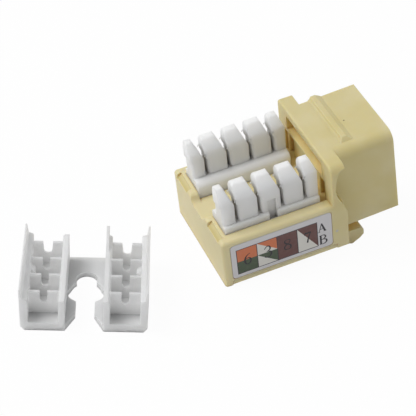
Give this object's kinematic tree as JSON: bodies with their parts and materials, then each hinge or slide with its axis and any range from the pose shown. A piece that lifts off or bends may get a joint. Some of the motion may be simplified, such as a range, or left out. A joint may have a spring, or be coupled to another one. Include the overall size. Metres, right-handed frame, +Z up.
{
  "type": "keystone network jack",
  "caption": "Snap-in network jack with punch-down terminal rows behind a modular socket, its press-on wire cap laid beside it.",
  "frame": {"origin": "middle of the bounding box of jack and cap, on the surface they lie on", "axes": "+X from the cap and the jack's cable end towards its socket mouth, +Y across the jack, away from its label, +Z up"},
  "size_m": [0.0666, 0.0268, 0.0219],
  "materials": {
    "ivory_plastic": "satin",
    "white_plastic": "satin",
    "carrier_plastic": "satin",
    "board_laminate": "semi-gloss",
    "label_film": "satin printed film",
    "blade_metal": "tinned",
    "spring_metal": "gold plated"
  },
  "bodies": {
    "jack": {"housing": "ivory_plastic", "base_cover": "ivory_plastic", "circuit_board": "board_laminate", "idc_block_near": "white_plastic", "idc_block_far": "white_plastic", "contact_carrier": "carrier_plastic", "wiring_label": "label_film", "wire_cap": "white_plastic", "idc_contact_1": "blade_metal", "idc_contact_2": "blade_metal", "idc_contact_3": "blade_metal", "idc_contact_4": "blade_metal", "idc_contact_5": "blade_metal", "idc_contact_6": "blade_metal", "idc_contact_7": "blade_metal", "idc_contact_8": "blade_metal", "contact_lead_1": "spring_metal", "contact_lead_2": "spring_metal", "contact_lead_3": "spring_metal", "contact_lead_4": "spring_metal", "contact_lead_5": "spring_metal", "contact_lead_6": "spring_metal", "contact_lead_7": "spring_metal", "contact_lead_8": "spring_metal"},
    "latch": {"latch_arm": "ivory_plastic"},
    "spring_1": {"contact_spring_1": "spring_metal"},
    "spring_2": {"contact_spring_2": "spring_metal"},
    "spring_3": {"contact_spring_3": "spring_metal"},
    "spring_4": {"contact_spring_4": "spring_metal"},
    "spring_5": {"contact_spring_5": "spring_metal"},
    "spring_6": {"contact_spring_6": "spring_metal"},
    "spring_7": {"contact_spring_7": "spring_metal"},
    "spring_8": {"contact_spring_8": "spring_metal"}
  },
  "joints": [
    {"name": "latch_flex", "type": "hinge", "parent": "jack", "child": "latch", "pos_m": [0.02177, 0.00287, 0.00328], "axis": [0, -1, 0], "range_deg": [0, 10], "stiffness_Nm_per_rad": 1.1},
    {"name": "contact_flex_1", "type": "hinge", "parent": "jack", "child": "spring_1", "pos_m": [0.03104, -0.0007, 0.00933], "axis": [0, -1, 0], "range_deg": [0, 10], "stiffness_Nm_per_rad": 0.08},
    {"name": "contact_flex_2", "type": "hinge", "parent": "jack", "child": "spring_2", "pos_m": [0.03104, 0.00032, 0.00933], "axis": [0, -1, 0], "range_deg": [0, 10], "stiffness_Nm_per_rad": 0.08},
    {"name": "contact_flex_3", "type": "hinge", "parent": "jack", "child": "spring_3", "pos_m": [0.03104, 0.00134, 0.00933], "axis": [0, -1, 0], "range_deg": [0, 10], "stiffness_Nm_per_rad": 0.08},
    {"name": "contact_flex_4", "type": "hinge", "parent": "jack", "child": "spring_4", "pos_m": [0.03104, 0.00236, 0.00933], "axis": [0, -1, 0], "range_deg": [0, 10], "stiffness_Nm_per_rad": 0.08},
    {"name": "contact_flex_5", "type": "hinge", "parent": "jack", "child": "spring_5", "pos_m": [0.03104, 0.00338, 0.00933], "axis": [0, -1, 0], "range_deg": [0, 10], "stiffness_Nm_per_rad": 0.08},
    {"name": "contact_flex_6", "type": "hinge", "parent": "jack", "child": "spring_6", "pos_m": [0.03104, 0.0044, 0.00933], "axis": [0, -1, 0], "range_deg": [0, 10], "stiffness_Nm_per_rad": 0.08},
    {"name": "contact_flex_7", "type": "hinge", "parent": "jack", "child": "spring_7", "pos_m": [0.03104, 0.00542, 0.00933], "axis": [0, -1, 0], "range_deg": [0, 10], "stiffness_Nm_per_rad": 0.08},
    {"name": "contact_flex_8", "type": "hinge", "parent": "jack", "child": "spring_8", "pos_m": [0.03104, 0.00644, 0.00933], "axis": [0, -1, 0], "range_deg": [0, 10], "stiffness_Nm_per_rad": 0.08}
  ]
}
